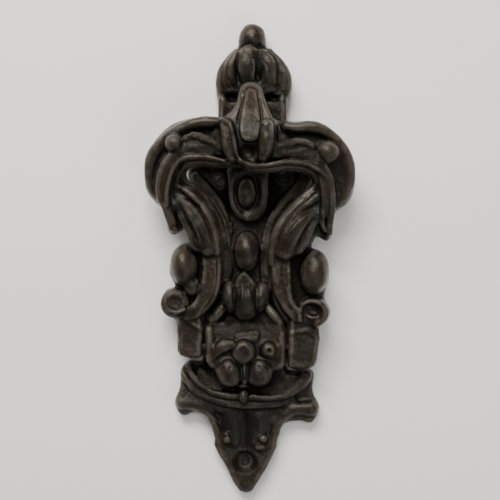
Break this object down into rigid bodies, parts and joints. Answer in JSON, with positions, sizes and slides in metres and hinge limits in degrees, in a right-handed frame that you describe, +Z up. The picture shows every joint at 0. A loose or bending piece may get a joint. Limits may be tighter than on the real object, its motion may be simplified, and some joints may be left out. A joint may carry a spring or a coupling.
{
  "type": "door knocker",
  "caption": "Ornate cast door knocker: a scrolled, leaf-shaped striker that hangs from a hinge pin on a screwed back plate.",
  "frame": {"origin": "on the door's surface, straight behind the middle of the hinge pin's axis", "axes": "+Z up the door as the knocker hangs, +Y into the door, the front faces -Y"},
  "size_m": [0.0877, 0.0385, 0.2008],
  "materials": {
    "cast_bronze": "dark brown patina, satin, rubbed brown on the high spots",
    "pin_steel": "darkened steel"
  },
  "bodies": {
    "plate": {"back_plate": "cast_bronze", "hinge_pin": "pin_steel"},
    "striker": {"knocker": "cast_bronze"}
  },
  "joints": [
    {"name": "knocker_swing", "type": "hinge", "parent": "plate", "child": "striker", "pos_m": [0, -0.012, 0], "axis": [-1, 0, 0], "range_deg": [0, 120]}
  ]
}
